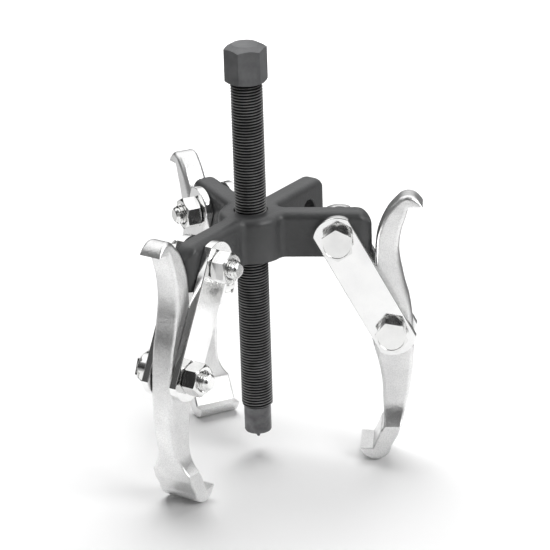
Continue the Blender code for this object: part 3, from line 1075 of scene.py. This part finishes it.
def half_width(z):
    """Half the jaw's width at a height: straight bar, curved flare, wide foot."""
    if z >= FLARE_TOP:
        return ARM_HALF
    if z <= FLARE_BASE:
        return TOE_HALF
    part = (FLARE_TOP - z) / (FLARE_TOP - FLARE_BASE)
    return ARM_HALF + (TOE_HALF - ARM_HALF) * part ** FLARE_POWER


def corner_turns(outline):
    """How far the outline turns at each of its points, in radians, and the way inward there."""
    turns = []
    for i, spot in enumerate(outline):
        before = (Vector(spot) - Vector(outline[i - 1])).normalized()
        after = (Vector(outline[(i + 1) % len(outline)]) - Vector(spot)).normalized()
        turn = math.atan2(before.x * after.y - before.y * after.x, before.dot(after))
        middle = (before + after).normalized()
        turns.append((turn, Vector((middle.y, -middle.x)) / math.cos(turn / 2)))
    if sum(turn for turn, _ in turns) > 0:
        turns = [(-turn, -inward) for turn, inward in turns]
    return turns


def rim_rounds(outline, turns):
    """The rim's radius at each point: full along the bar, small near the sharp tips."""
    sharp = [Vector(spot) for spot, (turn, _) in zip(outline, turns)
             if turn < SHARP_TURN]
    rounds = []
    for spot in outline:
        near = min((Vector(spot) - tip).length for tip in sharp)
        above = min(1.0, max(0.0, (spot[1] - FLARE_BASE) / (FLARE_TOP - FLARE_BASE)))
        full = FOOT_ROUND + (RIM_ROUND - FOOT_ROUND) * above
        rounds.append(min(full, TIP_ROUND + TIP_GROWTH * near))
    return rounds


def jaw_body():
    """The outline pulled sideways, flared at the ankle and rounded along its rims."""
    outline = jaw_outline()
    turns = corner_turns(outline)
    rounds = rim_rounds(outline, turns)
    steps = [math.radians(90 * k / RIM_STEPS) for k in range(RIM_STEPS + 1)]
    stations = [(-1, lift) for lift in reversed(steps)] + [(1, lift) for lift in steps]
    bm = bmesh.new()
    number = bm.verts.layers.int.new("number")
    start = [bm.verts.new((*spot, 0)) for spot in outline]
    for i, vert in enumerate(start):
        vert[number] = i
    cap = bm.faces.new(start)
    for step, (side, lift) in enumerate(stations):
        if step:
            before = cap
            grown = bmesh.ops.extrude_face_region(bm, geom=[before])
            cap = next(f for f in grown["geom"] if isinstance(f, bmesh.types.BMFace))
            if step > 1 and before.is_valid:
                bmesh.ops.delete(bm, geom=[before], context="FACES_ONLY")
        for vert in cap.verts:
            i = vert[number]
            x, z = Vector(outline[i]) + turns[i][1] * rounds[i] * (1 - math.cos(lift))
            vert.co = (x, side * (1 - rounds[i] * (1 - math.sin(lift))), z)
    for i in range(FLARE_STATIONS + 1):
        z = FLARE_TOP + (FLARE_BASE - FLARE_TOP) * i / FLARE_STATIONS
        bmesh.ops.bisect_plane(bm, geom=bm.verts[:] + bm.edges[:] + bm.faces[:], dist=1e-7,
                               plane_co=(0, 0, z), plane_no=(0, 0, 1))
    for vert in bm.verts:
        from_side = 1 - abs(vert.co.y)
        vert.co.y = math.copysign(half_width(vert.co.z) - from_side, vert.co.y)
    bmesh.ops.recalc_face_normals(bm, faces=bm.faces)
    print("jaw faces", len(bm.faces), "open edges", sum(not e.is_manifold for e in bm.edges))
    return bm


jaw_master = to_object("jaw_master", jaw_body())
combine(jaw_master, move(hole_tool(BOLT_HOLE, -ARM_HALF, ARM_HALF, 0.0004), LIE_ACROSS))
print("jaw triangles", sum(len(f.vertices) - 2 for f in jaw_master.data.polygons))

# %% Place the jaws
for letter in LEGS:
    mesh = jaw_master.data.copy()
    mesh.transform(jaw_place(letter))
    piece = bpy.data.objects.new("hooked_jaw_%s" % letter, mesh)
    bpy.context.scene.collection.objects.link(piece)
    finish_piece(piece, JAW_PLATING, "jaw_body_" + letter, ["jaw_" + letter], 34)
bpy.data.objects.remove(jaw_master)
print("jaws", len(LEGS))
